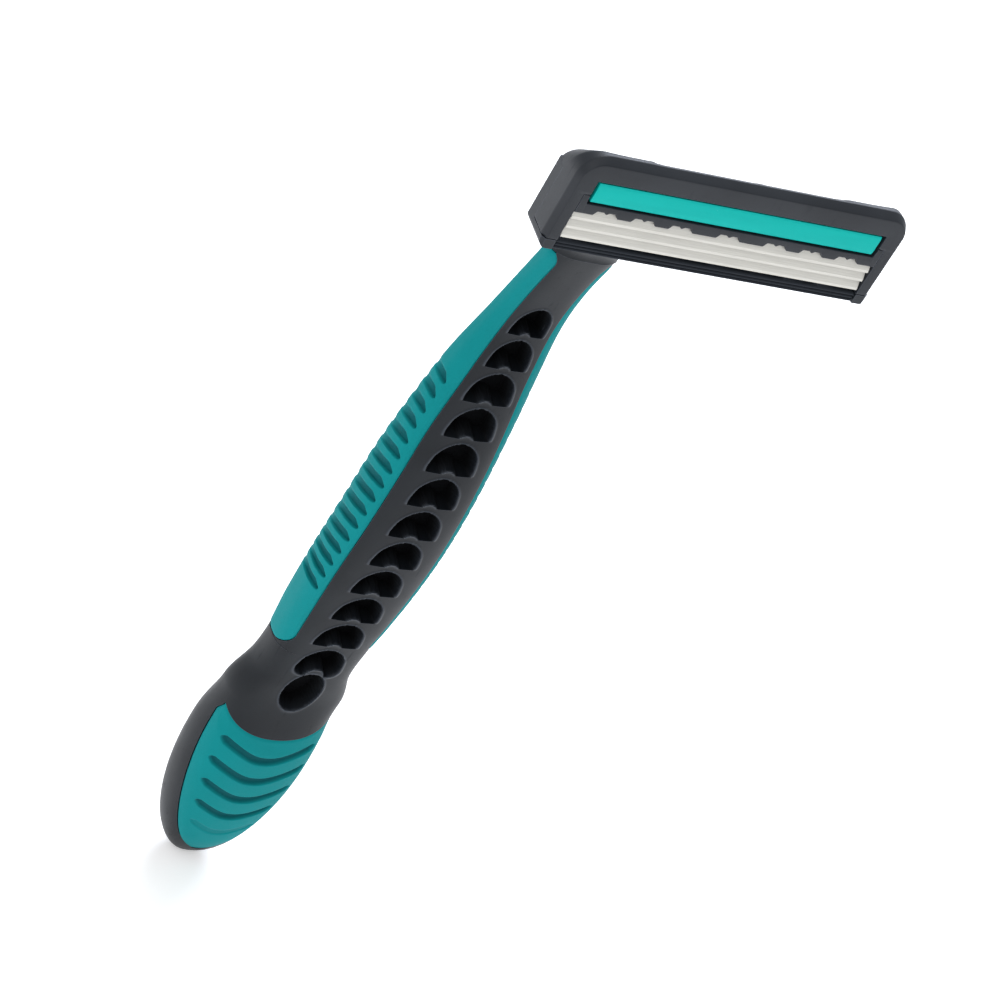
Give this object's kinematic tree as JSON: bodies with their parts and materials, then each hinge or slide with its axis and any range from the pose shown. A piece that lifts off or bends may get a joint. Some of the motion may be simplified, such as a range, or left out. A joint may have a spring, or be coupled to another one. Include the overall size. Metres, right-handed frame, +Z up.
{
  "type": "cartridge razor",
  "caption": "Wet razor: three-blade pivoting head with a lubricating strip, on a curved handle with ribbed soft grips and a padded bulb end",
  "frame": {"origin": "on the floor, under the middle of the part's bounding box, at the lowest point of the bulb", "axes": "+Z runs up the handle from the bulb to the head, -Y is the way the shaving face looks, and +X is the head's long direction to the right of someone facing the shaving face"},
  "size_m": [0.0424, 0.0371, 0.1485],
  "materials": {
    "charcoal_plastic": "fine satin moulded plastic",
    "teal_rubber": "soft moulded elastomer",
    "strip": "smooth waxy strip",
    "blade_steel": "ground and polished strip steel",
    "spacer_metal": "stamped sheet",
    "guard_rubber": "soft ribbed elastomer",
    "plunger_plastic": "slippery white plastic",
    "spring_steel": "drawn spring wire"
  },
  "bodies": {
    "handle": {"handle_core": "charcoal_plastic", "side_grip_left": "teal_rubber", "side_grip_right": "teal_rubber", "end_pad": "teal_rubber", "yoke": "charcoal_plastic", "plunger_spring": "spring_steel"},
    "head": {"blade_seat": "charcoal_plastic", "cap": "charcoal_plastic", "clamp_bar": "charcoal_plastic", "lubricating_strip": "strip", "blade_upper": "blade_steel", "blade_middle": "blade_steel", "blade_lower": "blade_steel", "spacer_upper": "spacer_metal", "spacer_lower": "spacer_metal", "guard_strip": "guard_rubber"},
    "plunger": {"plunger": "plunger_plastic"}
  },
  "joints": [
    {"name": "head_pivot", "type": "hinge", "parent": "handle", "child": "head", "pos_m": [0, -0.0122, 0.1416], "axis": [-1, 0, 0], "range_deg": [0, 40], "stiffness_Nm_per_rad": 0.02, "springref_deg": -17.19},
    {"name": "plunger_slide", "type": "slide", "parent": "handle", "child": "plunger", "axis": [0, 0, -1], "range_m": [0, 0.00182], "deforming": ["plunger_spring"]}
  ],
  "couplings": [
    {"joint": "plunger_slide", "follows": "head_pivot", "m_per_rad": 0.0026}
  ]
}
